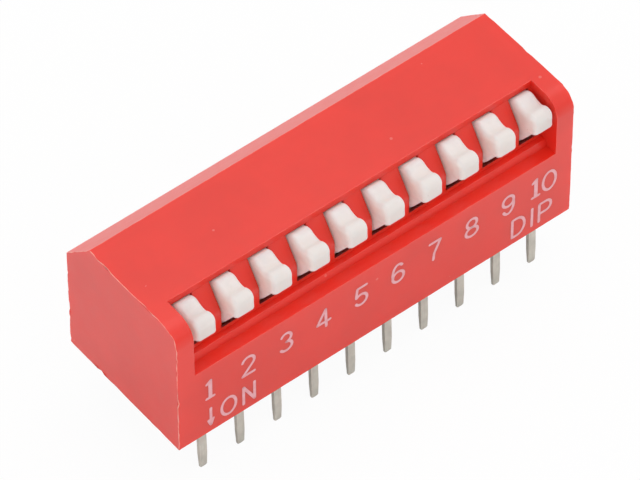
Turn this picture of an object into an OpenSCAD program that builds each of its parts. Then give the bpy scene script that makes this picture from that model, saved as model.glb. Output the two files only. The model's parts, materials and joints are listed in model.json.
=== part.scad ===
// DIP switch with piano-key levers, for a 2.54 mm board grid.
// X runs along the row from position 1, Y towards the back, Z up.
// The origin lies on the board surface, in the middle of the field of pins.

/* [Row] */
// Number of positions in the row
positions = 10; // [2:1:14]
// Distance between neighbouring positions
pitch = 2.54; // [2.2:0.01:3.2]
// Distance between the front and the rear row of pins
row_span = 7.62; // [7.4:0.01:9]

/* [Housing] */
// Depth of the housing, from the front face to the back face
housing_depth = 9.55; // [9.4:0.05:12]
// Height of the housing above the board
housing_height = 9.45; // [8.5:0.05:12]
// From the middle of an end lever to the end face
end_margin = 2.07; // [1.9:0.01:3]
// From the front row of pins to the front face
front_inset = 0.8; // [0.75:0.01:1.2]
// Wall of the skirt around the base
skirt_wall = 0.6; // [0.4:0.05:0.6]
// Wall of the roof, the back and the slotted wall
shell_wall = 0.8; // [0.6:0.05:0.9]
// Chamfer along the back of the top
back_chamfer = 2.02; // [1:0.01:3]
// Radius of the top front corner
front_radius = 1.2; // [0.5:0.05:1.6]

/* [Lever recess] */
// Depth of the recess at the top face
recess_depth = 2.25; // [2:0.05:2.6]
// Height of the recess, from its floor to the top face
recess_height = 4.01; // [3.8:0.01:4.2]
// Thickness of the cheek at each end of the recess
cheek = 1.17; // [0.8:0.01:1.25]
// From the front face to the foot of the step behind the recess floor
gutter_set = 0.74; // [0.5:0.01:0.8]
// From the front face to the top edge of that step
step_set = 0.92; // [0.85:0.01:1]
// Height of the step above the recess floor
step_rise = 0.42; // [0.3:0.01:0.5]
// From the front face to the upright stretch of the slotted wall
slot_wall_set = 1.24; // [1.1:0.01:1.4]
// Height of the stretch of that wall that leans back
lean_height = 1.5; // [1.2:0.05:1.8]
// Radius between the upright and the leaning stretch
lean_radius = 0.6; // [0.3:0.05:0.8]
// Roof left above the lever slots
slot_roof = 0.48; // [0.4:0.01:0.6]
// Height of the lever slots
slot_height = 2.85; // [2.7:0.01:2.9]
// Slope of the sill inside the slots, in degrees
sill_slope = 50; // [45:1:55]

/* [Levers] */
// Width of a lever
lever_width = 1.28; // [1:0.02:1.3]
// Play between a lever and its slot, on each side
side_play = 0.05; // [0.04:0.01:0.12]
// Angle between the two positions of a lever
throw_deg = 15; // [10:1:15]
// From the front face to the pivot
pivot_set = 3.4; // [3.3:0.05:3.5]
// Radius of the hub around the pivot
hub_radius = 1.45; // [1.35:0.05:1.5]
// Play between the hub and the roof
hub_play = 0.12; // [0.08:0.01:0.15]
// Radius of the trunnions
trunnion_radius = 0.5; // [0.4:0.05:0.6]
// Length of each trunnion
trunnion_reach = 0.38; // [0.3:0.02:0.4]
// Play around the trunnions
pivot_play = 0.05; // [0.03:0.01:0.08]
// How far the nose of a raised lever stands proud of the front face
nose_proud = 0.035; // [0:0.005:0.1]
// From the top of the slots down to the underside of the nose
nose_drop = 1.12; // [0.9:0.01:1.2]
// Radius of the lower edge of the nose
nose_radius = 0.28; // [0.1:0.02:0.3]
// Depth of the nose at its underside, from front to back
nose_depth = 0.34; // [0.32:0.01:0.5]
// Radius of the upright corners of the nose
nose_corner = 0.24; // [0.1:0.02:0.3]
// Radius of the ridge above the nose
ridge_radius = 0.45; // [0.35:0.01:0.5]
// How far the ridge stands above the top of the slots
ridge_rise = 0.25; // [0.15:0.01:0.3]
// From the front face to the thumb hollow
thumb_set = 0.97; // [0.9:0.01:1.1]
// Depth of the thumb hollow below the crest of the heel
thumb_drop = 0.25; // [0.15:0.01:0.35]
// Radius of the thumb hollow
thumb_radius = 0.5; // [0.4:0.05:0.8]
// From the front face to the crest of the heel
heel_set = 1.74; // [1.7:0.01:1.8]
// How far the heel stands above the top of the slots
heel_rise = 0.25; // [0.15:0.01:0.3]
// Radius of the heel
heel_radius = 0.5; // [0.4:0.01:0.55]
// Play between the heel and the roof of its slot
heel_play = 0.03; // [0.02:0.01:0.08]
// Height of the levers' underside above the sill of the slots
keel_rise = 0.34; // [0.3:0.01:0.5]
// Thickness of the foot inside its contact clip
foot_thickness = 0.8; // [0.6:0.05:1]
// How far the foot flares out, on each side, towards the hub
foot_flare = 0.2; // [0.1:0.05:0.3]
// Room left between the foot and the base
foot_room = 1.3; // [1.1:0.05:1.6]

/* [Contacts] */
// Thickness of the contact clips
clip_thickness = 0.15; // [0.1:0.01:0.2]
// Width of the contact clips
clip_width = 1.1; // [0.9:0.05:1.2]
// How far the clips reach up the foot
clip_height = 1.8; // [1.6:0.1:2]
// Outer radius of the bulge that touches the terminals
bulge_radius = 0.35; // [0.3:0.05:0.4]
// From the end of the foot up to the bulge
bulge_rise = 0.8; // [0.6:0.05:1]
// Gap left between a bulge and its terminals when the lever is down
contact_gap = 0.03; // [0.02:0.01:0.06]

/* [Terminals] */
// Width of the pins
pin_width = 0.5; // [0.4:0.02:0.6]
// Thickness of the terminal sheet
sheet = 0.25; // [0.2:0.01:0.28]
// Length of the pins below the board surface
pin_length = 3.6; // [3:0.1:4]
// Chamfer at the corners of the pin tips
tip_chamfer = 0.1; // [0.05:0.01:0.15]
// How much the tips are coined thinner, on each side
tip_coin = 0.05; // [0.02:0.01:0.08]
// How far the pins splay outwards below the board surface, in degrees
pin_splay = 2; // [0:0.5:4]
// Height of the shoulders that stop the terminals in the base
shoulder = 0.5; // [0.4:0.05:0.7]
// Width of the strips and blades inside the cells
strip_width = 0.45; // [0.35:0.01:0.5]
// Gap between the two terminals of a cell
strip_gap = 0.3; // [0.2:0.01:0.32]
// How far the blades reach above the bulge
blade_rise = 0.7; // [0.4:0.1:1]
// Inner radius of the terminals' bends
bend_radius = 0.15; // [0.1:0.05:0.2]

/* [Base] */
// Thickness of the base plate
base_thickness = 1.6; // [1.4:0.1:1.8]
// How far the base lies above the board
base_lift = 0.1; // [0.05:0.05:0.3]
// Play between the base and the housing, and around the terminals
fit_gap = 0.05; // [0.03:0.01:0.06]
// Thinnest web left outside a terminal slot before the slot opens to the edge
least_web = 0.3; // [0.2:0.05:0.4]
// Depth of the hollows in the underside
hollow_depth = 0.6; // [0.3:0.1:0.8]
// From the webs around the terminals to those hollows
hollow_set = 0.5; // [0.3:0.1:1]
// Reach of the snap ridges at the ends of the base
snap_reach = 0.14; // [0.1:0.01:0.2]

/* [Hidden] */
$fn = 48;
past = 0.5;                                     // how far a cut runs past a face
lap = 0.05;                                     // how far shapes that grow together lap over

row = [for (i = [1:positions]) i];
length = (positions - 1) * pitch + 2 * end_margin;
y_front = -row_span / 2 - front_inset;
y_back = y_front + housing_depth;

slot_width = lever_width + 2 * side_play;
rib = pitch - slot_width;                       // partition between two cells
base_top = base_lift + base_thickness;

lip_z = housing_height - recess_height;
slot_top = housing_height - slot_roof;
slot_bottom = slot_top - slot_height;
lean_start = slot_top - lean_height;
y_slot_wall = y_front + slot_wall_set;
y_recess = y_front + recess_depth;
y_nose = y_front - nose_proud;
lean = atan2(y_recess - y_slot_wall, lean_height);

y_pivot = y_front + pivot_set;
z_pivot = slot_top - hub_play - hub_radius;
bearing = trunnion_radius + pivot_play;
foot_length = z_pivot - base_top - foot_room;
post_width = 2 * bearing - 2 * fit_gap;
post_top = z_pivot - trunnion_radius / 2;       // the posts stop there, short of the trunnions' axis

// Where the bulge of a contact clip stands when its lever is down
bulge_reach = foot_length - bulge_rise;
bulge_y = y_pivot + bulge_reach * sin(throw_deg / 2) + foot_thickness / 2 * cos(throw_deg / 2);
bulge_z = z_pivot - bulge_reach * cos(throw_deg / 2) + foot_thickness / 2 * sin(throw_deg / 2);
blade_y = bulge_y + bulge_radius + contact_gap;
blade_top = bulge_z + blade_rise;
strip_edge = strip_gap / 2 + strip_width;

// Where position i stands along the row
function place(i) = (i - (positions + 1) / 2) * pitch;

// Angle of the line from one point of a side view to another
function slope(a, b) = atan2(b[1] - a[1], b[0] - a[0]);

// Extrudes a side view, drawn as [y, z], to a width along X
module along_x(width, at = 0) {
    translate([at - width / 2, 0, 0]) rotate([90, 0, 90]) linear_extrude(width) children();
}

// A box from its lowest to its highest corner
module span(low, high) {
    translate(low) cube(high - low);
}

// What rounding takes off a square corner at the origin that points to +x +y
module corner_sliver(radius) {
    translate([-radius, -radius]) difference() {
        square(radius + past);
        circle(radius);
    }
}

// The sliver between a corner and the arc that rounds it. The edges leave it at the angles from and to.
// It laps over the corner, so that the two shapes grow together.
module rounding(corner, from, to, radius) {
    half = (to - from) / 2;
    reach = radius / tan(half);
    difference() {
        polygon([
            corner - lap * [cos(from + half), sin(from + half)],
            corner + reach * [cos(from), sin(from)],
            corner + reach * [cos(to), sin(to)]
        ]);
        translate(corner + radius / sin(half) * [cos(from + half), sin(from + half)]) circle(radius);
    }
}

/* ---- Housing ---- */

// Side view of the housing
module housing_outline() {
    difference() {
        polygon([
            [y_front, 0],
            [y_back, 0],
            [y_back, housing_height - back_chamfer],
            [y_back - back_chamfer, housing_height],
            [y_front, housing_height]
        ]);
        translate([y_front, housing_height]) mirror([1, 0]) corner_sliver(front_radius);
    }
}

// Side view of the recess: floor, step, upright wall with its rounded lean, opening at the top
module recess_outline() {
    polygon([
        [y_front - past, lip_z],
        [y_front + gutter_set, lip_z],
        [y_front + step_set, lip_z + step_rise],
        [y_slot_wall, lip_z + step_rise],
        [y_slot_wall, lean_start],
        [y_recess, slot_top],
        [y_recess, housing_height + past],
        [y_front - past, housing_height + past]
    ]);
    rounding([y_slot_wall, lean_start], -90, 90 - lean, lean_radius);
}

// Side view of the cell behind each slot, one wall inside the housing's own outline
module cell_outline() {
    corner_run = shell_wall * tan(22.5);
    inner_wall = y_slot_wall + shell_wall;
    roof = housing_height - shell_wall;
    polygon([
        [y_front + skirt_wall, 0],
        [y_front + skirt_wall, lip_z - shell_wall],
        [inner_wall, lip_z - shell_wall],
        [inner_wall, lean_start - shell_wall * tan(lean / 2)],
        [y_slot_wall + (roof - lean_start) * tan(lean) + shell_wall / cos(lean), roof],
        [y_back - back_chamfer - corner_run, roof],
        [y_back - shell_wall, housing_height - back_chamfer - corner_run],
        [y_back - shell_wall, 0]
    ]);
}

// Side view of the way through the slotted wall, with its sloping sill and the hub's hollow
module slot_outline() {
    sill_drop = shell_wall * tan(sill_slope);
    polygon([
        [y_front, slot_bottom],
        [y_slot_wall, slot_bottom],
        [y_slot_wall + shell_wall, slot_bottom - sill_drop],
        [y_pivot, slot_bottom - sill_drop],
        [y_pivot, slot_top],
        [y_front, slot_top]
    ]);
    translate([y_pivot, z_pivot]) circle(hub_radius + hub_play);
}

// Side view of the groove that a trunnion slides up in
module groove_outline() {
    translate([y_pivot, z_pivot]) circle(bearing);
    translate([y_pivot - bearing, 0]) square([2 * bearing, z_pivot]);
}

module housing() {
    ends = length / 2 - skirt_wall;
    color([0.88, 0.27, 0.25]) difference() {
        along_x(length) housing_outline();
        along_x(length - 2 * cheek) recess_outline();
        for (i = row) {
            along_x(slot_width, place(i)) {
                cell_outline();
                slot_outline();
            }
        }
        // trunnion grooves: one through each partition, half of one in each end wall
        for (i = row) along_x(slot_width + rib, place(i)) groove_outline();
        // room for the base, and the grooves that its snap ridges click into
        span([-ends, y_front + skirt_wall, -past], [ends, y_back - skirt_wall, base_top]);
        for (side = [-1, 1]) translate([side * ends, 0, 0]) snap_ridge(snap_reach + fit_gap, fit_gap);
    }
}

/* ---- Base ---- */

// A ridge of triangular section along Y, grown by some play
module snap_ridge(reach, play = 0) {
    translate([0, (y_front + y_back) / 2, base_lift + base_thickness / 2]) rotate([90, 0, 0])
        linear_extrude(housing_depth / 3 + 2 * play, center = true)
            polygon([[-reach, 0], [0, -reach], [reach, 0], [0, reach]]);
}

// Slots for the row of terminals at y: snug below, wider above where the shoulders and bends lie.
// They open to the edge of the base where the web outside them would be thin.
module terminal_slots(y, edge) {
    outer = abs(y) + sheet / 2 + fit_gap;
    reach = edge - outer < least_web ? edge + past : outer;
    snug = abs(y) - sheet / 2 - fit_gap;
    wide = abs(y) - sheet / 2 - bend_radius;
    half = pin_width / 2 + fit_gap;
    for (i = row) translate([place(i), 0, 0]) scale([-sign(y), sign(y), 1]) {
        span([-half, snug, -past], [half, reach, base_top + past]);
        span([-half, wide, base_top - shoulder], [strip_edge + fit_gap, reach, base_top + past]);
    }
}

// A post that fills a groove below the trunnions and carries them on its hollowed top
module bearing_post(low, high) {
    difference() {
        span([low, y_pivot - post_width / 2, base_top], [high, y_pivot + post_width / 2, post_top]);
        translate([0, y_pivot, z_pivot]) rotate([0, 90, 0])
            cylinder(r = bearing, h = 2 * length, center = true);
    }
}

module base() {
    ends = length / 2 - skirt_wall - fit_gap;
    front = y_front + skirt_wall + fit_gap;
    back = y_back - skirt_wall - fit_gap;
    hollow_span = row_span - 2 * (sheet + least_web + hollow_set);
    color([0.12, 0.12, 0.13]) {
        difference() {
            union() {
                span([-ends, front, base_lift], [ends, back, base_top]);
                intersection() {
                    for (side = [-1, 1]) translate([side * ends, 0, 0]) snap_ridge(snap_reach);
                    span([-length, y_front, base_lift], [length, y_back, base_top]);
                }
            }
            terminal_slots(-row_span / 2, -front);
            terminal_slots(row_span / 2, back);
            for (i = row) {
                translate([place(i), 0, base_lift])
                    cube([pitch - 2 * least_web, hollow_span, 2 * hollow_depth], center = true);
            }
        }
        for (i = [0:positions]) {
            left = i == 0 ? 0 : rib / 2;
            right = i == positions ? 0 : rib / 2;
            translate([place(i) + pitch / 2, 0, 0]) bearing_post(fit_gap - left, right - fit_gap);
        }
    }
}

/* ---- Levers ---- */

// Side view of the part of a lever that shows: nose, ridge, thumb hollow and heel
module paddle_outline() {
    underside = slot_top - nose_drop;
    ridge_top = [y_nose + ridge_radius, slot_top + ridge_rise];
    heel_top = [y_front + heel_set, slot_top + heel_rise];
    hollow = [y_front + thumb_set, heel_top[1] - thumb_drop];
    keel = [y_slot_wall, slot_bottom + keel_rise];
    difference() {
        polygon([
            [y_nose, ridge_top[1] - ridge_radius],
            ridge_top,
            hollow,
            heel_top,
            [y_recess, slot_top - heel_play],
            [y_pivot, z_pivot + hub_radius],
            [y_pivot, slot_bottom - keel_rise / 4],
            [keel[0] + keel_rise, slot_bottom - keel_rise / 4],
            keel,
            [y_nose + nose_depth, underside],
            [y_nose, underside]
        ]);
        translate([y_nose, underside]) rotate(180) corner_sliver(nose_radius);
    }
    translate([ridge_top[0], ridge_top[1] - ridge_radius]) circle(ridge_radius);
    translate([heel_top[0], heel_top[1] - heel_radius]) circle(heel_radius);
    rounding(hollow, slope(hollow, heel_top), slope(hollow, ridge_top), thumb_radius);
}

// Side view of the foot, drawn straight down from a pivot at the origin
module foot_outline() {
    shoulder = foot_thickness / 2 + clip_thickness;
    polygon([
        [-shoulder - foot_flare, 0],
        [-shoulder, clip_height - foot_length],
        [-foot_thickness / 2, clip_height - foot_length],
        [-foot_thickness / 2, -foot_length],
        [foot_thickness / 2, -foot_length],
        [foot_thickness / 2, clip_height - foot_length],
        [shoulder, clip_height - foot_length],
        [shoulder + foot_flare, 0]
    ]);
}

// Turns a side view drawn around the pivot to where a raised lever's foot points
module at_foot() {
    translate([y_pivot, z_pivot]) rotate(-throw_deg / 2) children();
}

module lever(i) {
    color([0.93, 0.91, 0.89]) translate([place(i), 0, 0]) {
        difference() {
            along_x(lever_width) {
                paddle_outline();
                translate([y_pivot, z_pivot]) circle(hub_radius);
                at_foot() foot_outline();
            }
            for (side = [0, 1]) mirror([side, 0, 0]) {
                translate([lever_width / 2, y_nose, slot_bottom])
                    linear_extrude(slot_height + past) mirror([0, 1]) corner_sliver(nose_corner);
            }
        }
        translate([0, y_pivot, z_pivot]) rotate([0, 90, 0])
            cylinder(r = trunnion_radius, h = lever_width + 2 * trunnion_reach, center = true);
    }
}

/* ---- Contact clips ---- */

// Side view of a clip: a strip bent round the end of the foot, with a bulge on its rear leg
module clip_outline() {
    half = foot_thickness / 2;
    difference() {
        union() {
            translate([-half - clip_thickness, -foot_length - clip_thickness])
                square([2 * (half + clip_thickness), clip_height + clip_thickness]);
            translate([half, bulge_rise - foot_length]) circle(bulge_radius);
        }
        translate([-half, -foot_length]) square([2 * half, clip_height + past]);
        translate([half, bulge_rise - foot_length]) circle(bulge_radius - clip_thickness);
        for (side = [0, 1]) mirror([side, 0])
            translate([half + clip_thickness, -foot_length - clip_thickness])
                mirror([0, 1]) corner_sliver(clip_thickness);
    }
}

module contact(i) {
    color([0.85, 0.68, 0.3]) along_x(clip_width, place(i)) at_foot() clip_outline();
}

/* ---- Terminals ---- */

// Side view of the sheet: up through the base at y, flat along its top, and up again as the blade
module terminal_outline(y) {
    side = sign(y);
    outer = bend_radius + sheet;
    pin = abs(y) + sheet / 2;
    blade = side < 0 ? -blade_y - sheet : blade_y;
    scale([side, 1]) difference() {
        union() {
            translate([pin - sheet, base_top - shoulder]) square([sheet, shoulder + sheet]);
            translate([blade, base_top]) square([pin - blade, sheet]);
            translate([blade, base_top]) square([sheet, blade_top - base_top]);
            rounding([pin - sheet, base_top], 180, 270, bend_radius);
            rounding([blade + sheet, base_top + sheet], 0, 90, bend_radius);
        }
        translate([pin, base_top + sheet]) corner_sliver(outer);
        translate([blade, base_top]) rotate(180) corner_sliver(outer);
    }
}

// Front view of the pin and its shoulder, with the strip's side to the right
module pin_outline() {
    half = pin_width / 2;
    polygon([
        [-half, base_top - bend_radius],
        [-half, tip_chamfer - pin_length],
        [tip_chamfer - half, -pin_length],
        [half - tip_chamfer, -pin_length],
        [half, tip_chamfer - pin_length],
        [half, base_top - shoulder],
        [strip_edge, base_top - shoulder],
        [strip_edge, base_top - bend_radius]
    ]);
}

// Side view of the pin, with the outside to the left: straight down to the board, then splayed
module pin_side() {
    half = sheet / 2;
    splay = pin_length * tan(pin_splay);
    polygon([
        [-half, base_top],
        [-half, 0],
        [-half - splay, tip_chamfer - pin_length],
        [tip_coin - half - splay, -pin_length],
        [half - tip_coin - splay, -pin_length],
        [half - splay, tip_chamfer - pin_length],
        [half, 0],
        [half, base_top]
    ]);
}

// A terminal: its pin in the middle of the position, its strip and blade to one side
module terminal(i, y) {
    side = sign(y);
    color([0.72, 0.7, 0.67]) translate([place(i), 0, 0]) {
        translate([0, y, 0]) scale([-side, -side, 1]) intersection() {
            rotate([90, 0, 0]) linear_extrude(pin_length, center = true) pin_outline();
            along_x(2 * pitch) pin_side();
        }
        along_x(strip_width, side * (strip_width / 2 - strip_edge)) terminal_outline(y);
    }
}

module front_terminal(i) {
    terminal(i, -row_span / 2);
}

module rear_terminal(i) {
    terminal(i, row_span / 2);
}

housing();
base();
for (i = row) {
    lever(i);
    contact(i);
    front_terminal(i);
    rear_terminal(i);
}
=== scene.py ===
"""A piano DIP switch: the finish of its plastic and metal, its print, and a plain stage round it."""

import json
import math

import bmesh
import bpy
from bpy.props import FloatProperty, FloatVectorProperty, PointerProperty
from mathutils import Matrix, Vector, noise


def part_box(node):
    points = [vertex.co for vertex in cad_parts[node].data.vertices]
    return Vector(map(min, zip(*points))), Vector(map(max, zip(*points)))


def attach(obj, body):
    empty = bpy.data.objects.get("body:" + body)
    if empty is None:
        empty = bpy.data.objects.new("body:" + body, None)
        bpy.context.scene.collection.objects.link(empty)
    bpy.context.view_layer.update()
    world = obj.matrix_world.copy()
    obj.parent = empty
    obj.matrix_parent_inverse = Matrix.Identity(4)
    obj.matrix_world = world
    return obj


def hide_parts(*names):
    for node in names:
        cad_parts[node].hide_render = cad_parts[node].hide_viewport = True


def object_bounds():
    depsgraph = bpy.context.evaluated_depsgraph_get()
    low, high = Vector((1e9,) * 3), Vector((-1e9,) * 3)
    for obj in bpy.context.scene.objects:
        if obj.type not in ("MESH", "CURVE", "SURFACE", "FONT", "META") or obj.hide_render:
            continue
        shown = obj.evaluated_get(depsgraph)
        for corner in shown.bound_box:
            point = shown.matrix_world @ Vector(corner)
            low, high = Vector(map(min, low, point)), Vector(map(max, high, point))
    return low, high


bl_info = {
    "name": "DIP switch",
    "version": (1, 0, 0),
    "blender": (4, 5, 0),
    "location": "3D View > Sidebar > DIP switch",
    "description": "Finishes a piano DIP switch and sets it on a plain stage",
    "category": "Object",
}

MM = 0.001
BODY = "body"

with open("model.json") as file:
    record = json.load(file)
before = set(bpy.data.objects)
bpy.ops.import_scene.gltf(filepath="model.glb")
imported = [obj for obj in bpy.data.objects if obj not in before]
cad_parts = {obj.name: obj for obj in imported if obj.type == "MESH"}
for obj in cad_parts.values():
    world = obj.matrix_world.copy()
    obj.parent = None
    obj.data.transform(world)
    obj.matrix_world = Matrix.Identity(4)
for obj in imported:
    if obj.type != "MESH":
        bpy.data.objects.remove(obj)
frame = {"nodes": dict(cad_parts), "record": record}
CAD_LOW, CAD_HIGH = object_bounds()
NODES = frame["nodes"]
LEVERS = sorted((n for n in NODES if n.startswith("lever_")), key=lambda n: int(n.split("_")[1]))
CONTACTS = [n for n in NODES if n.startswith("contact_")]
TERMINALS = [n for n in NODES if "terminal_" in n]
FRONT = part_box("housing")[0].y

# Corners closer than this are one, and faces flatter than this to each other are one.
WELD = 0.0005 * MM
FLAT_ANGLE = math.radians(0.5)
# Edges that turn by more than this are sharp.
SHARP_ANGLE = math.radians(25.0)
# A corner closer to a plane than this lies on it.
TOUCH = 0.01 * MM

# Places on the housing. Heights are taken below its top, depths behind its front.
SLOT_TOP = 0.3 * MM
SLOT_BOTTOM = 3.6 * MM
SLOT_REACH = 0.75 * MM
RECESS_DEPTH = 2.4 * MM
ROOF_DEPTH = 3.0 * MM
CHEEK = 0.8 * MM
END_REACH = 0.1 * MM
OUTSIDE_REACH = 0.03 * MM

# How strongly the edges of the housing are rounded, and by how much that varies.
LEFT_ROUNDING = (0.8, 1.2)
OUTER_ROUNDING = (0.5, 0.4)
LEAST_ROUNDING = 0.2
RECESS_ROUNDING = 0.4

# How a lever is made. Its outline's points stand LEVER_SPACING apart at most. A rounding takes ROOM_USED
# of the room inside the outline at most. The underside begins where the outline's way back, as the Y of its
# direction, passes UNDER_START.
LEVER_SPACING = 0.12 * MM
LEVER_RINGS = 6
EVENING_ROUNDS = 24
ROOM_USED = 0.8
UNDER_START = 0.8
HUB_CHAMFER = 0.05 * MM
LEVER_SHARP_ANGLE = math.radians(35.0)

# The sides of a stroke of ink, and the degrees from one point of an arc to the next.
INK_SIDES = 10
ARC_STEP = 15.0


# ---- Node trees -------------------------------------------------------------------------------


class Socket:
    """A node's output that can be used in an expression. Each operator adds a Math node."""

    def __init__(self, owner, socket):
        self.owner = owner
        self.socket = socket

    def maths(self, operation, first, second):
        return self.owner.node("ShaderNodeMath", {"operation": operation}, {0: first, 1: second})

    def __add__(self, other):
        return self.maths("ADD", self, other)

    def __radd__(self, other):
        return self.maths("ADD", other, self)

    def __sub__(self, other):
        return self.maths("SUBTRACT", self, other)

    def __rsub__(self, other):
        return self.maths("SUBTRACT", other, self)

    def __mul__(self, other):
        return self.maths("MULTIPLY", self, other)

    def __rmul__(self, other):
        return self.maths("MULTIPLY", other, self)

    def __truediv__(self, other):
        return self.maths("DIVIDE", self, other)

    def __gt__(self, other):
        return self.maths("GREATER_THAN", self, other)

    def __lt__(self, other):
        return self.maths("LESS_THAN", self, other)


class Tree:
    """A node tree that is built from one node after another."""

    def __init__(self, tree):
        self.tree = tree
        self.tree.nodes.clear()

    def node(self, kind, settings=None, inputs=None, output=0):
        """Adds a node, sets it up, fills or links its sockets, and returns one of its outputs."""
        made = self.tree.nodes.new(kind)
        for name, value in (settings or {}).items():
            if name == "stops":
                self.set_stops(made.color_ramp, value)
            else:
                setattr(made, name, value)
        for key, value in (inputs or {}).items():
            if isinstance(value, Socket):
                self.tree.links.new(value.socket, made.inputs[key])
            else:
                made.inputs[key].default_value = value
        return Socket(self, made.outputs[output]) if made.outputs else None

    @staticmethod
    def set_stops(ramp, stops):
        while len(ramp.elements) < len(stops):
            ramp.elements.new(1.0)
        for element, (position, value) in zip(ramp.elements, stops):
            element.position = position
            element.color = (value, value, value, 1.0)


class Look(Tree):
    """A material that is built from one node after another."""

    def __init__(self, name):
        self.material = bpy.data.materials.new(name)
        self.material.use_nodes = True
        super().__init__(self.material.node_tree)

    def millimetres(self, stretch=(1.0, 1.0, 1.0)):
        """Object coordinates in millimetres, stretched along the axes."""
        place = self.node("ShaderNodeTexCoord", output="Object")
        scale = tuple(s / MM for s in stretch)
        return self.node("ShaderNodeMapping", {}, {"Vector": place, "Scale": scale})

    def noise(self, scale, detail=2.0, stretch=(1.0, 1.0, 1.0)):
        inputs = {"Vector": self.millimetres(stretch), "Scale": scale, "Detail": detail}
        return self.node("ShaderNodeTexNoise", {}, inputs)

    def cells(self, scale):
        """The distance to the nearest of points that are strewn in space."""
        inputs = {"Vector": self.millimetres(), "Scale": scale}
        return self.node("ShaderNodeTexVoronoi", {}, inputs, output="Distance")

    def attribute(self, name):
        """A value that the mesh carries."""
        return self.node("ShaderNodeAttribute", {"attribute_name": name}, output="Fac")

    def ramp(self, value, *stops):
        return self.node("ShaderNodeValToRGB", {"stops": stops}, {"Fac": value})

    def blend(self, factor, first, second):
        """A colour between two others."""
        inputs = {"Factor": factor, 6: first, 7: second}
        return self.node("ShaderNodeMix", {"data_type": "RGBA"}, inputs, output=2)

    def bump(self, height, depth, normal=None):
        """A bump whose height of one stands for a depth in metres."""
        inputs = {"Height": height, "Distance": depth, "Strength": 1.0}
        if normal:
            inputs["Normal"] = normal
        return self.node("ShaderNodeBump", {}, inputs)

    def finish(self, **inputs):
        """The surface shader and the output. Names with an underscore stand for names with a space."""
        named = {key.replace("_", " "): value for key, value in inputs.items()}
        shader = self.node("ShaderNodeBsdfPrincipled", {}, named)
        self.node("ShaderNodeOutputMaterial", {}, {"Surface": shader})
        return self.material


def opaque(colour):
    return (*colour[:3], 1.0)


def scaled(colour, factor):
    return (*(min(1.0, c * factor) for c in colour[:3]), 1.0)


# ---- Materials --------------------------------------------------------------------------------


def housing_plastic(sizes):
    """Satin red plastic: faint mottle, fine grain, stray dust, edges painted lighter as highlight and
    rubbing, and a recess painted brighter as bounce light.
    """
    look = Look("housing_plastic")
    red = opaque(sizes.colour)
    mottle = look.ramp(look.noise(0.35, 3.0), (0.35, 0.0), (0.65, 1.0))
    colour = look.blend(mottle, scaled(red, 0.965), scaled(red, 1.03))
    # Painted light: the recess is painted brighter, standing in for the light that bounces inside it.
    colour = look.blend(look.attribute("recess"), colour, scaled(red, sizes.recess_light))
    # The rims are painted lighter, partly as a painted highlight on the rounded edges and partly as rubbing,
    # which also roughens them.
    patchy = look.ramp(look.noise(2.0, 4.0), (0.34, 0.35), (0.64, 1.0))
    worn = look.attribute("rim") * patchy
    colour = look.blend(worn * sizes.edge_highlight_and_rubbing, colour, opaque(sizes.rubbed_highlight_colour))
    dust = (look.cells(0.55) < sizes.dust_size) * (look.noise(0.9, 0.0) > 0.48)
    colour = look.blend(dust * 0.25, colour, opaque(sizes.dust_colour))
    grain = look.noise(9.0, 3.0)
    ripple = look.bump(look.noise(0.8, 1.0), 0.006 * MM)
    normal = look.bump(grain, 0.0022 * MM, ripple)
    roughness = 0.28 + 0.08 * look.noise(1.4, 2.0) + 0.15 * worn
    return look.finish(
        Base_Color=colour,
        Roughness=roughness,
        Normal=normal,
        Specular_IOR_Level=0.6,
        Subsurface_Weight=0.8,
        Subsurface_Radius=(1.0, 0.15, 0.1),
        Subsurface_Scale=0.6 * MM,
        Sheen_Weight=0.15,
        Sheen_Roughness=0.3,
    )


def lever_plastic(sizes):
    """White plastic with faint grimy patches, painted shade towards the front of the noses, and a few dark
    specks.
    """
    look = Look("lever_plastic")
    depth = look.node("ShaderNodeSeparateXYZ", {}, {"Vector": look.millimetres()}, output="Y")
    flank = look.attribute("flank")
    # Painted shade: the fronts of the noses are painted darker, less so on their flanks; the noise patches
    # are grimy spots.
    nose_shade = look.ramp(sizes.nose_shade_start - depth, (0.0, 0.0), (1.0, 1.0)) * (1.0 - flank * flank)
    patches = look.ramp(look.noise(0.9, 3.0), (0.45, 0.0), (0.7, 0.6))
    grime_and_shade = nose_shade.maths("MAXIMUM", nose_shade, patches)
    colour = look.blend(grime_and_shade, opaque(sizes.colour), opaque(sizes.shade))
    specks = (look.cells(1.3) < sizes.speck_size) * (look.noise(1.7, 0.0) > 0.55)
    colour = look.blend(specks * 0.35, colour, opaque(sizes.speck_colour))
    ripple = look.bump(look.noise(1.1, 1.0), 0.008 * MM)
    normal = look.bump(look.noise(7.0, 3.0), 0.002 * MM, ripple)
    roughness = 0.4 + 0.1 * look.noise(1.2, 2.0)
    return look.finish(
        Base_Color=colour,
        Roughness=roughness,
        Normal=normal,
        Subsurface_Weight=1.0,
        Subsurface_Radius=(1.0, 0.88, 0.82),
        Subsurface_Scale=2.0 * MM,
    )


def base_plastic(sizes):
    """Matt black plastic with a pebbled grain."""
    look = Look("base_plastic")
    black = opaque(sizes.colour)
    colour = look.blend(look.noise(1.1, 3.0), black, scaled(black, 1.7))
    normal = look.bump(look.noise(6.0, 4.0), 0.006 * MM)
    roughness = 0.5 + 0.15 * look.noise(2.0, 2.0)
    return look.finish(Base_Color=colour, Roughness=roughness, Normal=normal)


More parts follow.
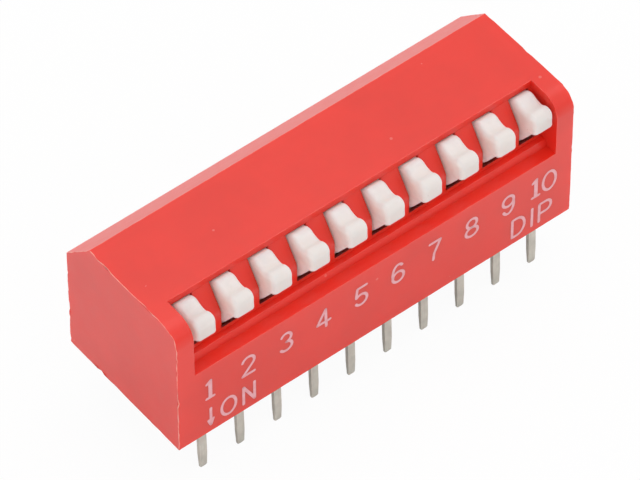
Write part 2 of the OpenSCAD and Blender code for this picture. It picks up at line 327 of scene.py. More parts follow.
def tinned_metal(sizes):
    """Dull tin over brass: stamping streaks along the pin and a cloudy, slightly tarnished coat."""
    look = Look("tinned_metal")
    tin = opaque(sizes.tin_colour)
    streaks = look.noise(5.0, 3.0, stretch=(1.0, 1.0, 0.12))
    clouds = look.ramp(look.noise(1.3, 3.0), (0.3, 0.0), (0.75, 1.0))
    colour = look.blend(clouds, scaled(tin, 0.86), scaled(tin, 1.06))
    colour = look.blend(look.ramp(streaks, (0.5, 0.0), (0.8, 0.5)), colour, scaled(tin, 0.7))
    normal = look.bump(streaks, 0.004 * MM)
    roughness = 0.6 + 0.16 * look.noise(2.1, 2.0)
    return look.finish(Base_Color=colour, Metallic=0.5, Roughness=roughness, Normal=normal)


def gilt_metal(sizes):
    """Thin gold plating on spring strip."""
    look = Look("gilt_metal")
    gold = opaque(sizes.gold_colour)
    colour = look.blend(look.noise(1.5, 3.0), scaled(gold, 0.85), gold)
    normal = look.bump(look.noise(6.0, 2.0, stretch=(0.15, 1.0, 1.0)), 0.002 * MM)
    roughness = 0.25 + 0.1 * look.noise(2.0, 2.0)
    return look.finish(Base_Color=colour, Metallic=1.0, Roughness=roughness, Normal=normal)


def print_ink(sizes):
    """Thin white ink that lets some of the red through."""
    look = Look("print_ink")
    thin = look.ramp(look.noise(3.0, 3.0), (0.35, 0.0), (0.7, 1.0))
    colour = look.blend(thin, opaque(sizes.ink_colour), opaque(sizes.thin_ink_colour))
    normal = look.bump(look.noise(8.0, 2.0), 0.002 * MM)
    return look.finish(Base_Color=colour, Roughness=0.55, Normal=normal)


# ---- Meshes -----------------------------------------------------------------------------------


def clean_copy(node):
    """A bmesh of a CAD node with its loose triangles joined and its flat faces whole."""
    shape = bmesh.new()
    shape.from_mesh(NODES[node].data)
    bmesh.ops.remove_doubles(shape, verts=shape.verts, dist=WELD)
    bmesh.ops.dissolve_limit(shape, angle_limit=FLAT_ANGLE, verts=shape.verts, edges=shape.edges)
    return shape


def new_object(name, mesh, material):
    made = bpy.data.objects.new(name, mesh)
    bpy.context.scene.collection.objects.link(made)
    mesh.materials.clear()
    mesh.materials.append(material)
    return made


def applied(obj):
    """Turns what the modifiers make of an object into its own plain mesh."""
    bpy.context.view_layer.update()
    evaluated = obj.evaluated_get(bpy.context.evaluated_depsgraph_get())
    plain = bpy.data.meshes.new_from_object(evaluated)
    obj.modifiers.clear()
    obj.data = plain
    return obj


def cut_short(edges, step):
    """Cuts edges into pieces that are no longer than the step."""
    pieces = list(edges)
    while pieces:
        edge = pieces.pop()
        if edge.calc_length() > step:
            pieces += [edge, bmesh.utils.edge_split(edge, edge.verts[0], 0.5)[0]]


def is_sharp(edge):
    return len(edge.link_faces) == 2 and edge.calc_face_angle(0.0) > SHARP_ANGLE


def softened(shape, name, material, radius, strength, segments=3, highlight_and_rubbing=lambda place: 1.0, step=1.0):
    """Turns a bmesh into an object with rounded edges. The strength of each sharp edge scales its radius.

    The strength may change along an edge, once for every step. The roundings are marked as the mesh's rim, as
    strongly as the painted highlight and rubbing at their place.
    """
    cut_short([edge for edge in shape.edges if is_sharp(edge) and strength(edge) > 0.0], step)
    weight = shape.edges.layers.float.new("bevel_weight_edge")
    for edge in shape.edges:
        edge[weight] = strength(edge) if is_sharp(edge) else 0.0
    mesh = bpy.data.meshes.new(name)
    shape.to_mesh(mesh)
    shape.free()
    if "custom_normal" in mesh.attributes:
        mesh.attributes.remove(mesh.attributes["custom_normal"])
    made = new_object(name, mesh, material)
    mesh.materials.append(material)
    bevel = made.modifiers.new("rounding", "BEVEL")
    bevel.limit_method = "WEIGHT"
    bevel.width = radius
    bevel.segments = segments
    bevel.material = 1
    bevel.harden_normals = True
    mesh.shade_smooth()
    mesh.set_sharp_from_angle(angle=SHARP_ANGLE)
    applied(made)
    rim = made.data.attributes.new("rim", "FLOAT", "FACE")
    for polygon, value in zip(made.data.polygons, rim.data):
        value.value = polygon.material_index * highlight_and_rubbing(polygon.center)
        polygon.material_index = 0
    made.data.materials.pop(index=1)
    return made


def side_view(node):
    """The outline of a CAD node half-way along X, as (y, z) points that run anticlockwise."""
    low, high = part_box(node)
    shape = clean_copy(node)
    parts = shape.verts[:] + shape.edges[:] + shape.faces[:]
    plane = {"plane_co": (low + high) / 2, "plane_no": (1.0, 0.0, 0.0)}
    cut = bmesh.ops.bisect_plane(shape, geom=parts, clear_outer=True, clear_inner=True, **plane)
    edges = {part for part in cut["geom_cut"] if isinstance(part, bmesh.types.BMEdge)}
    edge = edges.pop()
    start, here = edge.verts
    loop = [start.co.yz, here.co.yz]
    while here != start:
        edge = next(e for e in here.link_edges if e in edges)
        edges.remove(edge)
        here = edge.other_vert(here)
        loop.append(here.co.yz)
    shape.free()
    loop.pop()
    area = sum(a.x * b.y - b.x * a.y for a, b in zip(loop, loop[1:] + loop[:1]))
    return loop if area > 0.0 else loop[::-1]


def respaced(loop, step):
    """The outline with extra points, so that no two lie further apart than the step."""
    points = []
    for here, ahead in zip(loop, loop[1:] + loop[:1]):
        count = max(1, math.ceil((ahead - here).length / step))
        points += [here.lerp(ahead, i / count) for i in range(count)]
    return points


def inward_ways(loop):
    """The direction into the outline at each of its points."""
    ways = [(b - a).normalized() for a, b in zip(loop, loop[1:] + loop[:1])]
    along = [(before + after).normalized() for before, after in zip(ways[-1:] + ways[:-1], ways)]
    return [Vector((-way.y, way.x)) for way in along]


def room_inside(loop, point, way):
    """The radius of the largest circle in the outline that touches it at a point."""
    away = [other - point for other in loop]
    return min(a.length_squared / (2.0 * a.dot(way)) for a in away if a.dot(way) > 0.001 * a.length > 0.0)


def evened(loop, amounts, rounds):
    """The outline with its bends evened out, at each point as much as its amount from 0 to 1."""
    for _ in range(rounds):
        middles = [(a + b) / 2 for a, b in zip(loop[-1:] + loop[:-1], loop[1:] + loop[:1])]
        loop = [point.lerp(middle, amount / 2) for point, middle, amount in zip(loop, middles, amounts)]
    return loop


def skinned(shape, bands):
    """Joins rings of vertices with faces, and closes the first and the last."""
    for first, second in zip(bands, bands[1:]):
        for i in range(len(first)):
            shape.faces.new((first[i - 1], first[i], second[i], second[i - 1]))
    shape.faces.new(bands[0][::-1])
    shape.faces.new(bands[-1])


def cushioned(shape, loop, inner, centre, half, radii, rings):
    """Adds a slab with the given side view to a bmesh, rounded towards the inner outline of its sides.

    The rounding has its own radius across the slab at each point.
    """
    bands = []
    for side in (-1, 1):
        for step in range(rings + 1)[::side]:
            angle = math.pi / 2 * step / rings
            band = []
            for point, core, radius in zip(loop, inner, radii):
                place = point.lerp(core, 1.0 - math.cos(angle))
                x = centre + side * (half - radius * (1.0 - math.sin(angle)))
                band.append(shape.verts.new((x, *place)))
            bands.append(band)
    skinned(shape, bands)


def add_drum(shape, low, high, centre, radius, chamfer, sides=32):
    """Adds a cylinder along X with chamfered ends to a bmesh."""
    angles = [2 * math.pi * i / sides for i in range(sides)]
    end = radius - chamfer
    bands = []
    for x, r in ((low, end), (low + chamfer, radius), (high - chamfer, radius), (high, end)):
        places = [(x, centre.x + r * math.cos(a), centre.y + r * math.sin(a)) for a in angles]
        bands.append([shape.verts.new(place) for place in places])
    skinned(shape, bands)


def adopt(piece, node, body):
    """The piece stands for a CAD node, and moves with its body."""
    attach(piece, body)
    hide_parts(node)


def body_of(node):
    bodies = frame["record"]["behaviour"]["bodies"]
    return next(name for name, members in bodies.items() if node in members)


# ---- Print ------------------------------------------------------------------------------------


def arc(x, z, wide, high, start, end):
    """Points of a stretch of an ellipse, in millimetres and degrees."""
    count = max(2, round(abs(end - start) / ARC_STEP))
    angles = [math.radians(start + (end - start) * i / count) for i in range(count + 1)]
    return [(x + wide * math.cos(a), z + high * math.sin(a)) for a in angles]


# Strokes of each sign, in millimetres from the middle of its foot. Every sign is 1.42 mm high.
GLYPHS = {
    "0": [arc(0.0, 0.68, 0.45, 0.73, 90, 450)],
    "1": [[(0.03, 0.0), (0.03, 1.42)], [(-0.04, 0.0), (-0.04, 1.3)], [(0.03, 1.42), (-0.24, 1.2)],
          [(-0.26, 0.0), (0.24, 0.0)]],
    "2": [arc(0.0, 1.02, 0.4, 0.4, 165, -38), [(0.315, 0.775), (-0.39, 0.0)], [(-0.39, 0.0), (0.4, 0.0)]],
    "3": [arc(0.0, 1.07, 0.34, 0.35, 155, -90), arc(0.0, 0.36, 0.39, 0.36, 90, -155)],
    "4": [[(0.12, 1.42), (-0.43, 0.4)], [(-0.43, 0.4), (0.43, 0.4)], [(0.12, 1.42), (0.17, 0.0)]],
    "5": [[(0.36, 1.42), (-0.26, 1.42)], [(-0.26, 1.42), (-0.34, 0.74)],
          arc(0.0, 0.42, 0.4, 0.42, 140, -150)],
    "6": [arc(0.0, 0.41, 0.38, 0.41, 90, 450), arc(0.0, 0.71, 0.38, 0.71, 200, 48)],
    "7": [[(-0.38, 1.42), (0.36, 1.42)], [(0.36, 1.42), (-0.06, 0.5), (-0.12, 0.0)]],
    "8": [arc(0.0, 1.07, 0.34, 0.35, 90, 450), arc(0.0, 0.37, 0.41, 0.36, 90, 450)],
    "9": [arc(0.0, 1.01, 0.38, 0.41, 90, 450), arc(-0.01, 0.69, 0.39, 0.71, 20, -142)],
    "D": [[(-0.43, 0.0), (-0.43, 1.42)], [(-0.43, 1.42), (-0.1, 1.42)], arc(-0.1, 0.71, 0.53, 0.71, 90, -90),
          [(-0.1, 0.0), (-0.43, 0.0)]],
    "I": [[(0.0, 0.0), (0.0, 1.42)]],
    "N": [[(-0.33, 0.0), (-0.33, 1.38)], [(-0.33, 1.38), (0.41, 0.0)], [(0.41, 0.0), (0.41, 1.38)]],
    "O": [arc(0.02, 0.69, 0.48, 0.68, 90, 450)],
    "P": [[(-0.4, 0.0), (-0.4, 1.42)], [(-0.4, 1.42), (0.06, 1.42)], arc(0.06, 1.02, 0.36, 0.4, 90, -90),
          [(0.06, 0.62), (-0.4, 0.62)]],
}
ARROW = [[(0.0, 1.38), (0.0, 0.05)], [(-0.16, 0.44), (0.0, 0.02)], [(0.16, 0.44), (0.0, 0.02)]]


def placed(strokes, x, z):
    return [[(x + u, z + v) for u, v in stroke] for stroke in strokes]


def inked_lines():
    """Geometry nodes that turn flat curves into lines of ink with round ends, upright on the front face.

    Returns the tree and the identifiers of its inputs by name.
    """
    group = bpy.data.node_groups.new("inked lines", "GeometryNodeTree")
    face = group.interface
    face.new_socket("Geometry", in_out="OUTPUT", socket_type="NodeSocketGeometry")
    kinds = {"Geometry": "Geometry", "Stroke": "Float", "Relief": "Float", "Front": "Float",
             "Ink": "Material"}
    sockets = {
        name: face.new_socket(name, in_out="INPUT", socket_type=f"NodeSocket{kind}").identifier
        for name, kind in kinds.items()
    }
    tree = Tree(group)
    places = dict(zip(kinds, range(len(kinds))))
    given = {name: tree.node("NodeGroupInput", output=place) for name, place in places.items()}
    half = given["Stroke"] * 0.5
    flat = tree.node("ShaderNodeCombineXYZ", {}, {"X": 1.0, "Y": given["Relief"] / half, "Z": 1.0})
    level = tree.node("ShaderNodeCombineXYZ", {}, {"X": 1.0, "Y": 1.0, "Z": given["Relief"] / half})
    ring = tree.node("GeometryNodeCurvePrimitiveCircle", {}, {"Resolution": INK_SIDES, "Radius": half})
    profile = tree.node("GeometryNodeTransform", {}, {"Geometry": ring, "Scale": flat})
    upright = tree.node("GeometryNodeSetCurveNormal", {"mode": "Z_UP"}, {"Curve": given["Geometry"]})
    lines = tree.node("GeometryNodeCurveToMesh", {}, {"Curve": upright, "Profile Curve": profile})
    ends = tree.node("GeometryNodeCurveEndpointSelection")
    round_ends = {"Segments": INK_SIDES, "Rings": INK_SIDES // 2, "Radius": half}
    ball = tree.node("GeometryNodeMeshUVSphere", {}, round_ends)
    dots = tree.node(
        "GeometryNodeInstanceOnPoints",
        {},
        {"Points": given["Geometry"], "Selection": ends, "Instance": ball, "Scale": level},
    )
    both = tree.node("GeometryNodeJoinGeometry", {}, {"Geometry": lines})
    tree.tree.links.new(dots.socket, both.socket.node.inputs["Geometry"])
    place = tree.node("ShaderNodeCombineXYZ", {}, {"Y": given["Front"]})
    stood = tree.node(
        "GeometryNodeTransform",
        {},
        {"Geometry": both, "Rotation": (math.pi / 2, 0.0, 0.0), "Translation": place},
    )
    smooth = tree.node("GeometryNodeSetShadeSmooth", {}, {"Geometry": stood})
    real = tree.node("GeometryNodeRealizeInstances", {}, {"Geometry": smooth})
    inked = tree.node("GeometryNodeSetMaterial", {}, {"Geometry": real, "Material": given["Ink"]})
    tree.node("NodeGroupOutput", {}, {"Geometry": inked})
    return group, sockets


# ---- Settings ---------------------------------------------------------------------------------


class HousingSettings(bpy.types.PropertyGroup):
    colour: FloatVectorProperty(name="Colour", description="Colour of the red plastic", subtype="COLOR",
                                size=3, default=(0.82, 0.03, 0.014))
    # The edges' lighter colour is partly a painted highlight and partly rubbing.
    rubbed_highlight_colour: FloatVectorProperty(name="Edge colour", description="Colour of the rubbed edges",
                                     subtype="COLOR", size=3, default=(1.0, 0.45, 0.39))
    edge_highlight_and_rubbing: FloatProperty(name="Edge wear", description="How strongly the edges are rubbed",
                             subtype="FACTOR", default=1.0)
    edge_radius: FloatProperty(name="Edge radius", description="Radius of the edges", subtype="DISTANCE",
                               default=0.16 * MM)
    rag_size: FloatProperty(name="Rag size", description="How far apart the ragged edges change",
                            subtype="DISTANCE", default=0.4 * MM)
    nibble: FloatProperty(name="Nibble", description="How deep the left end's outline is nibbled",
                          subtype="DISTANCE", default=0.14 * MM)
    right_nibble: FloatProperty(name="Right nibble", description="How much of that the right end gets",
                                subtype="FACTOR", default=0.5)
    right_rag: FloatProperty(name="Right rag", description="How much finer the right end is nibbled",
                             default=1.6)
    # These strengths scale the painted highlight and the rubbing of the edges.
    outer_highlight_and_rubbing: FloatProperty(name="Outer wear", description="Wear of the edges away from the left end",
                              subtype="FACTOR", default=0.6)
    recess_highlight_and_rubbing: FloatProperty(name="Recess wear", description="Wear of the mouth of the recess",
                               subtype="FACTOR", default=0.22)
    inner_highlight_and_rubbing: FloatProperty(name="Inner wear", description="Wear of the edges inside the recess",
                              subtype="FACTOR", default=0.1)
    # Painted light: how much brighter the recess is painted, as bounce light inside it.
    recess_light: FloatProperty(name="Freshness", description="How much brighter the recess is than the outside",
                             default=1.06)
    dust_size: FloatProperty(name="Dust size", description="Radius of the dust specks, in cells",
                             default=0.05)
    dust_colour: FloatVectorProperty(name="Dust", description="Colour of the dust specks", subtype="COLOR",
                                     size=3, default=(0.9, 0.5, 0.45))


class LeverSettings(bpy.types.PropertyGroup):
    colour: FloatVectorProperty(name="Colour", description="Colour of the levers", subtype="COLOR", size=3,
                                default=(0.87, 0.825, 0.78))
    # The shade colour serves both the grimy patches and the painted shade on the noses.
    shade: FloatVectorProperty(name="Shade", description="Colour of the grimy patches", subtype="COLOR",
                               size=3, default=(0.72, 0.68, 0.65))
    # Painted shade: the depth at which the noses begin to be painted darker, in millimetres.
    nose_shade_start: FloatProperty(name="Grime start", default=-3.2,
                               description="Depth at which the thumbs' grime begins, in millimetres")
    speck_size: FloatProperty(name="Speck size", description="Radius of the dark specks, in cells",
                              default=0.045)
    speck_colour: FloatVectorProperty(name="Specks", description="Colour of the dark specks", subtype="COLOR",
                                      size=3, default=(0.35, 0.3, 0.26))
    edge_radius: FloatProperty(name="Edge radius", description="Radius of the edges that show",
                               subtype="DISTANCE", default=0.22 * MM)
    edge_depth: FloatProperty(name="Edge depth", description="How far these roundings reach down the sides",
                              subtype="DISTANCE", default=0.6 * MM)
    lower_radius: FloatProperty(name="Lower radius", description="Radius of the edges of the underside",
                                subtype="DISTANCE", default=0.1 * MM)
    hidden_radius: FloatProperty(name="Hidden radius", description="Radius of the edges inside the housing",
                                 subtype="DISTANCE", default=0.06 * MM)
    shown: FloatProperty(name="Shown", description="Depth of the part that shows", subtype="DISTANCE",
                         default=2.35 * MM)
    fading: FloatProperty(name="Fading", description="Depth over which the radius goes from one to the other",
                          subtype="DISTANCE", default=0.3 * MM)


class BaseSettings(bpy.types.PropertyGroup):
    colour: FloatVectorProperty(name="Colour", description="Colour of the base", subtype="COLOR", size=3,
                                default=(0.012, 0.012, 0.013))
    edge_radius: FloatProperty(name="Edge radius", description="Radius of the base's edges",
                               subtype="DISTANCE", default=0.04 * MM)


class MetalSettings(bpy.types.PropertyGroup):
    tin_colour: FloatVectorProperty(name="Tin", description="Colour of the tinned terminals", subtype="COLOR",
                                    size=3, default=(0.722, 0.703, 0.627))
    gold_colour: FloatVectorProperty(name="Gold", description="Colour of the plated clips", subtype="COLOR",
                                     size=3, default=(0.85, 0.58, 0.22))
    edge_radius: FloatProperty(name="Edge radius", description="Radius of the terminals' edges",
                               subtype="DISTANCE", default=0.03 * MM)
    taper: FloatProperty(name="Taper", description="Length of the pins' tapered tips", subtype="DISTANCE",
                         default=1.1 * MM)
    tip_width: FloatProperty(name="Tip width", description="How much of their width is left there",
                             subtype="FACTOR", default=0.92)
    tip_thickness: FloatProperty(name="Tip thickness", description="How much of their thickness is left",
                                 subtype="FACTOR", default=0.6)


class PrintSettings(bpy.types.PropertyGroup):
    ink_colour: FloatVectorProperty(name="Ink", description="Colour of the print", subtype="COLOR", size=3,
                                    default=(0.91, 0.48, 0.52))
    thin_ink_colour: FloatVectorProperty(name="Thin ink", description="Colour where the ink is thin",
                                         subtype="COLOR", size=3, default=(0.87, 0.37, 0.4))
    stroke: FloatProperty(name="Stroke", description="Width of the strokes", subtype="DISTANCE",
                          default=0.19 * MM)
    relief: FloatProperty(name="Relief", description="Thickness of the ink", subtype="DISTANCE",
                          default=0.006 * MM)
    first_number: FloatProperty(name="First number", default=-11.33,
                                description="Where the first number stands, in millimetres")
    number_step: FloatProperty(name="Number step", description="From one number to the next, in millimetres",
                               default=2.548)
    digit_step: FloatProperty(name="Digit step", description="From one digit to the next, in millimetres",
                              default=0.94)
    pair_shift: FloatProperty(name="Pair shift", default=0.13,
                              description="How far left a pair of digits stands, in millimetres")
    numbers_height: FloatProperty(name="Numbers", description="Height of the numbers' feet, in millimetres",
                                  default=2.86)
    words_height: FloatProperty(name="Words", description="Height of the words' feet, in millimetres",
                                default=0.54)
    letters: FloatVectorProperty(name="Letters", description="Where the letters of the two words stand",
                                 size=5, default=(-10.15, -8.8, 9.83, 10.79, 11.7))


class StageSettings(bpy.types.PropertyGroup):
    turn: FloatProperty(name="Turn", description="How far the camera stands round to the left of the front",
                        subtype="ANGLE", default=math.radians(38.51))
    tilt: FloatProperty(name="Tilt", description="How far the camera looks down", subtype="ANGLE",
                        default=math.radians(50.03))
    camera: FloatVectorProperty(name="Camera", description="Where the camera stands", subtype="XYZ", size=3,
                                default=(-134.79 * MM, -169.045 * MM, 260.995 * MM))
    lens: FloatProperty(name="Lens", description="Focal length of the camera, in millimetres", default=351.39)
    floor_size: FloatProperty(name="Floor", description="Width of the floor", subtype="DISTANCE", default=2.0)
    floor_grey: FloatProperty(name="Floor grey", description="How pale the floor is", subtype="FACTOR",
                              default=0.92)
    floor_white: FloatProperty(name="Floor white", description="How far the seen floor goes to plain white",
                               subtype="FACTOR", default=0.95)
    world: FloatProperty(name="World", description="Strength of the light from all round", default=0.82)
    key: FloatProperty(name="Key", description="Power of the lamp above", subtype="POWER", default=0.84)
    fill: FloatProperty(name="Fill", description="Power of the lamp in front", subtype="POWER", default=0.42)
    side: FloatProperty(name="Side", description="Power of the lamp at the left", subtype="POWER",
                        default=0.18)


class SwitchSettings(bpy.types.PropertyGroup):
    housing: PointerProperty(type=HousingSettings)
    levers: PointerProperty(type=LeverSettings)
    base: PointerProperty(type=BaseSettings)
    metal: PointerProperty(type=MetalSettings)
    print: PointerProperty(type=PrintSettings)
    stage: PointerProperty(type=StageSettings)


# ---- Operators --------------------------------------------------------------------------------


class DIP_OT_housing(bpy.types.Operator):
    """Make the red housing with its rounded edges"""

    bl_idname = "dip.housing"
    bl_label = "Housing"

    def execute(self, context):
        sizes = context.scene.dip_switch.housing
        low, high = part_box("housing")
        centres = [sum(corner.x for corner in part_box(node)) / 2 for node in LEVERS]

        def outside(place, reach=OUTSIDE_REACH):
            """Whether a place is on the outside of the housing."""
            return any(abs(place[axis] - corner[axis]) < reach for axis in range(3) for corner in (low, high))

        def slotted(place):
            """Whether a place is on the mouth of a lever's slot."""
            level = SLOT_TOP < high.z - place.z < SLOT_BOTTOM
            return level and any(abs(place.x - centre) < SLOT_REACH for centre in centres)

        def strength(edge):
            """Edges of the outside are rounded raggedly, those of the recess evenly, and none inside."""
            middle = (edge.verts[0].co + edge.verts[1].co) / 2
            if outside(middle):
                worn, rag = LEFT_ROUNDING if middle.x - low.x < END_REACH else OUTER_ROUNDING
                rounding = worn + rag * noise.noise(middle / sizes.rag_size)
                return min(1.0, max(LEAST_ROUNDING, rounding))
            shown = edge.is_convex and middle.y < low.y + RECESS_DEPTH and not slotted(middle)
            return RECESS_ROUNDING if shown else 0.0

        def highlight_and_rubbing(place):
            """How much lighter each rounding is painted, as painted highlight and rubbing: the left end most,
            then the other edges, the mouth of the recess and its inside.
            """
            if not outside(place, sizes.edge_radius):
                return sizes.inner_highlight_and_rubbing
            if place.x - low.x < END_REACH:
                return 1.0
            away = high.x - place.x < END_REACH or place.y > low.y + ROOF_DEPTH
            return sizes.outer_highlight_and_rubbing if away else sizes.recess_highlight_and_rubbing

        plastic = housing_plastic(sizes)
        radius, step = sizes.edge_radius, sizes.rag_size
        shell = softened(clean_copy("housing"), "housing_shell", plastic, radius, strength, 3, highlight_and_rubbing, step)
        ends = ((low.x, sizes.nibble, 1.0), (high.x, -sizes.nibble * sizes.right_nibble, sizes.right_rag))
        for vertex in shell.data.vertices:
            for end, bite, scale in ends:
                if abs(vertex.co.x - end) < sizes.edge_radius:
                    place = Vector((0.0, *vertex.co.yz)) * scale / sizes.rag_size
                    vertex.co.x += bite * max(0.0, noise.noise(place))
        # The recess attribute marks where the recess is painted brighter, as painted bounce light.
        recess = shell.data.attributes.new("recess", "FLOAT", "FACE")
        for polygon, value in zip(shell.data.polygons, recess.data):
            within = abs(polygon.center.x) < high.x - CHEEK and not outside(polygon.center)
            value.value = 1.0 if within else 0.0
        adopt(shell, "housing", BODY)
        return {"FINISHED"}


class DIP_OT_base(bpy.types.Operator):
    """Make the black base"""

    bl_idname = "dip.base"
    bl_label = "Base"

    def execute(self, context):
        sizes = context.scene.dip_switch.base
        plastic = base_plastic(sizes)
        plate = softened(clean_copy("base"), "base_plate", plastic, sizes.edge_radius, lambda edge: 1.0, 2)
        adopt(plate, "base", BODY)
        return {"FINISHED"}


class DIP_OT_levers(bpy.types.Operator):
    """Make the white levers with their rounded edges"""

    bl_idname = "dip.levers"
    bl_label = "Levers"

    def execute(self, context):
        sizes = context.scene.dip_switch.levers
        material = lever_plastic(sizes)
        for node in LEVERS:
            lever = new_object(f"{node}_key", self.mesh(node, sizes), material)
            weighted = lever.modifiers.new("even normals", "WEIGHTED_NORMAL")
            weighted.keep_sharp = True
            adopt(applied(lever), node, body_of(node))
        return {"FINISHED"}

    def mesh(self, node, sizes):
        """A lever with its edges rounded well where they show, and less inside the housing."""
        low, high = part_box(node)
        centre = (low.x + high.x) / 2
        loop = respaced(side_view(node), LEVER_SPACING)
        wall = low.y + sizes.shown
        half = max(abs(v.co.x - centre) for v in NODES[node].data.vertices if v.co.y < wall)
        befores, afters = loop[-1:] + loop[:-1], loop[1:] + loop[:1]
        radii, inner, amounts = [], [], []
        for way, before, point, after in zip(inward_ways(loop), befores, loop, afters):
            inside = min(1.0, max(0.0, (point.x - wall) / sizes.fading))
            backward = (after - before).normalized().x
            under = max(0.0, (backward - UNDER_START) / (1.0 - UNDER_START))
            plain = sizes.lower_radius * (1.0 - inside) + sizes.hidden_radius * inside
            amount = (1.0 - inside) * (1.0 - under)
            depth = sizes.edge_depth * amount + plain * (1.0 - amount)
            radii.append(sizes.edge_radius * amount + plain * (1.0 - amount))
            inner.append(point + way * min(depth, ROOM_USED * room_inside(loop, point, way)))
            amounts.append(amount)
        shape = bmesh.new()
        inner = evened(inner, amounts, EVENING_ROUNDS)
        cushioned(shape, loop, inner, centre, half, radii, LEVER_RINGS)
        ends = [v.co.yz for v in NODES[node].data.vertices if v.co.x > high.x - TOUCH]
        hub = sum(ends, Vector((0.0, 0.0))) / len(ends)
        radius = max((end - hub).length for end in ends)
        add_drum(shape, low.x, high.x, hub, radius, HUB_CHAMFER)
        mesh = bpy.data.meshes.new(f"{node}_key")
        shape.to_mesh(mesh)
        shape.free()
        mesh.shade_smooth()
        mesh.set_sharp_from_angle(angle=LEVER_SHARP_ANGLE)
        # flank marks the sides, where the painted shade on the noses fades out.
        flank = mesh.attributes.new("flank", "FLOAT", "POINT")
        for vertex, value in zip(mesh.vertices, flank.data):
            value.value = max(0.0, 1.0 - (half - abs(vertex.co.x - centre)) / sizes.edge_radius)
        return mesh


class DIP_OT_metal(bpy.types.Operator):
    """Make the tinned terminals and the plated clips"""

    bl_idname = "dip.metal"
    bl_label = "Terminals and clips"

    def execute(self, context):
        sizes = context.scene.dip_switch.metal
        tin = tinned_metal(sizes)
        for node in TERMINALS:
            shape = self.tapered(clean_copy(node), sizes)
            strip = softened(shape, f"{node}_strip", tin, sizes.edge_radius, lambda edge: 1.0, 2)
            adopt(strip, node, BODY)
        gold = gilt_metal(sizes)
        for node in CONTACTS:
            NODES[node].data.materials.clear()
            NODES[node].data.materials.append(gold)
        return {"FINISHED"}

    def tapered(self, shape, sizes):
        """Draws the tip of a pin narrower and thinner over its last stretch."""
        start = CAD_LOW.z + sizes.taper
        parts = shape.verts[:] + shape.edges[:] + shape.faces[:]
        bmesh.ops.bisect_plane(shape, geom=parts, plane_co=(0.0, 0.0, start), plane_no=(0.0, 0.0, 1.0))
        tip = [vertex for vertex in shape.verts if vertex.co.z < start - TOUCH]
        middle = sum((vertex.co for vertex in tip), Vector()) / len(tip)
        for vertex in tip:
            vertex.co.x = middle.x + (vertex.co.x - middle.x) * sizes.tip_width
            vertex.co.y = middle.y + (vertex.co.y - middle.y) * sizes.tip_thickness
        return shape


class DIP_OT_print(bpy.types.Operator):
    """Print the numbers of the positions, ON with its arrow, and DIP on the front face"""

    bl_idname = "dip.print"
    bl_label = "Print"

    def execute(self, context):
        sizes = context.scene.dip_switch.print
        strokes = [stroke for i in range(len(LEVERS)) for stroke in self.number(i, sizes)]
        strokes += placed(ARROW, sizes.first_number, sizes.words_height)
        for letter, x in zip("ONDIP", sizes.letters):
            strokes += placed(GLYPHS[letter], x, sizes.words_height)
        lines = bpy.data.curves.new("print", "CURVE")
        lines.dimensions = "3D"
        for stroke in strokes:
            spline = lines.splines.new("POLY")
            spline.points.add(len(stroke) - 1)
            for point, (x, z) in zip(spline.points, stroke):
                point.co = (x * MM, z * MM, 0.0, 1.0)
        made = bpy.data.objects.new("print", lines)
        context.scene.collection.objects.link(made)
        tree, sockets = inked_lines()
        modifier = made.modifiers.new("ink", "NODES")
        modifier.node_group = tree
        modifier[sockets["Stroke"]] = sizes.stroke
        modifier[sockets["Relief"]] = sizes.relief
        modifier[sockets["Front"]] = FRONT
        modifier[sockets["Ink"]] = print_ink(sizes)
        context.view_layer.update()
        evaluated = made.evaluated_get(context.evaluated_depsgraph_get())
        plain = bpy.data.meshes.new_from_object(evaluated)
        bpy.data.objects.remove(made)
        ink = bpy.data.objects.new("print", plain)
        context.scene.collection.objects.link(ink)
        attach(ink, BODY)
        return {"FINISHED"}

    def number(self, index, sizes):
        """The strokes of the number of a position."""
        digits = str(index + 1)
        x = sizes.first_number + index * sizes.number_step
        if len(digits) == 1:
            return placed(GLYPHS[digits], x, sizes.numbers_height)
        middle = x - sizes.pair_shift
        places = (middle - sizes.digit_step / 2, middle + sizes.digit_step / 2)
        return [s for d, at in zip(digits, places) for s in placed(GLYPHS[d], at, sizes.numbers_height)]


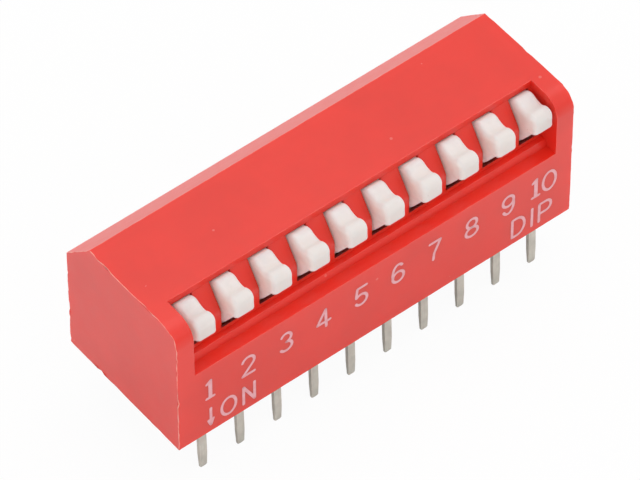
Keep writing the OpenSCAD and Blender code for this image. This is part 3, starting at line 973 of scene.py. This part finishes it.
class DIP_OT_stage(bpy.types.Operator):
    """Set up the floor, the lights, the world and the camera"""

    bl_idname = "dip.stage"
    bl_label = "Stage"

    def execute(self, context):
        sizes = context.scene.dip_switch.stage
        self.floor(sizes)
        self.world(context, sizes)
        self.lights(context, sizes)
        self.camera(context, sizes)
        context.scene.view_settings.view_transform = "Standard"
        return {"FINISHED"}

    def floor(self, sizes):
        """White paper that catches the shadow, and that a camera below sees through."""
        look = Look("floor")
        seen = look.node("ShaderNodeLightPath", output="Is Camera Ray")
        grey = (sizes.floor_grey, sizes.floor_grey, sizes.floor_grey, 1.0)
        paper = look.node("ShaderNodeBsdfDiffuse", {}, {"Color": grey})
        white = look.node("ShaderNodeEmission", {}, {"Strength": 1.0})
        mixed = look.node("ShaderNodeMixShader", {}, {0: seen * sizes.floor_white, 1: paper, 2: white})
        below = look.node("ShaderNodeNewGeometry", output="Backfacing")
        clear = look.node("ShaderNodeBsdfTransparent")
        open_below = look.node("ShaderNodeMixShader", {}, {0: seen * below, 1: mixed, 2: clear})
        look.node("ShaderNodeOutputMaterial", {}, {"Surface": open_below})
        half = sizes.floor_size / 2
        mesh = bpy.data.meshes.new("floor")
        corners = [(-half, -half), (half, -half), (half, half), (-half, half)]
        mesh.from_pydata([(x, y, CAD_LOW.z) for x, y in corners], [], [(0, 1, 2, 3)])
        new_object("floor", mesh, look.material)

    def world(self, context, sizes):
        """A soft light from all round, plain white where the camera sees it."""
        world = bpy.data.worlds.new("studio")
        context.scene.world = world
        world.use_nodes = True
        tree = Tree(world.node_tree)
        seen = tree.node("ShaderNodeLightPath", output="Is Camera Ray")
        strength = sizes.world + seen * (1.0 - sizes.world)
        sky = tree.node("ShaderNodeBackground", {}, {"Strength": strength})
        tree.node("ShaderNodeOutputWorld", {}, {"Surface": sky})

    def lights(self, context, sizes):
        for name, place, size, power in (
            ("key", (0.08, 0.08, 0.49), 0.5, sizes.key),
            ("fill", (0.06, -0.37, 0.37), 0.55, sizes.fill),
            ("side", (-0.46, -0.12, 0.3), 0.5, sizes.side),
        ):
            data = bpy.data.lights.new(name, "AREA")
            data.size = size
            data.energy = power
            lamp = bpy.data.objects.new(name, data)
            context.scene.collection.objects.link(lamp)
            lamp.location = place
            lamp.rotation_euler = (-Vector(place)).to_track_quat("-Z", "Y").to_euler()

    def camera(self, context, sizes):
        data = bpy.data.cameras.new("camera")
        data.sensor_width = 36.0
        data.lens = sizes.lens
        data.clip_end = 10.0
        camera = bpy.data.objects.new("camera", data)
        context.scene.collection.objects.link(camera)
        level, upright = math.cos(sizes.tilt), math.sin(sizes.tilt)
        ahead = Vector((math.sin(sizes.turn) * level, math.cos(sizes.turn) * level, -upright))
        right = Vector((math.cos(sizes.turn), -math.sin(sizes.turn), 0.0))
        above = right.cross(ahead)
        turned = Matrix((right, above, -ahead)).transposed().to_4x4()
        camera.matrix_world = Matrix.Translation(Vector(sizes.camera)) @ turned
        context.scene.camera = camera


class DIP_PT_switch(bpy.types.Panel):
    """Lists the steps that make the switch"""

    bl_label = "DIP switch"
    bl_idname = "DIP_PT_switch"
    bl_space_type = "VIEW_3D"
    bl_region_type = "UI"
    bl_category = "DIP switch"

    def draw(self, context):
        for step in STEPS:
            self.layout.operator(step.bl_idname)


STEPS = (DIP_OT_housing, DIP_OT_base, DIP_OT_levers, DIP_OT_metal, DIP_OT_print, DIP_OT_stage)
GROUPS = (HousingSettings, LeverSettings, BaseSettings, MetalSettings, PrintSettings, StageSettings,
          SwitchSettings)
CLASSES = (*GROUPS, *STEPS, DIP_PT_switch)


def register():
    for cls in CLASSES:
        bpy.utils.register_class(cls)
    bpy.types.Scene.dip_switch = PointerProperty(type=SwitchSettings)


def unregister():
    del bpy.types.Scene.dip_switch
    for cls in reversed(CLASSES):
        bpy.utils.unregister_class(cls)


def main():
    register()
    for step in STEPS:
        category, name = step.bl_idname.split(".")
        getattr(getattr(bpy.ops, category), name)()


if __name__ == "__main__":
    main()
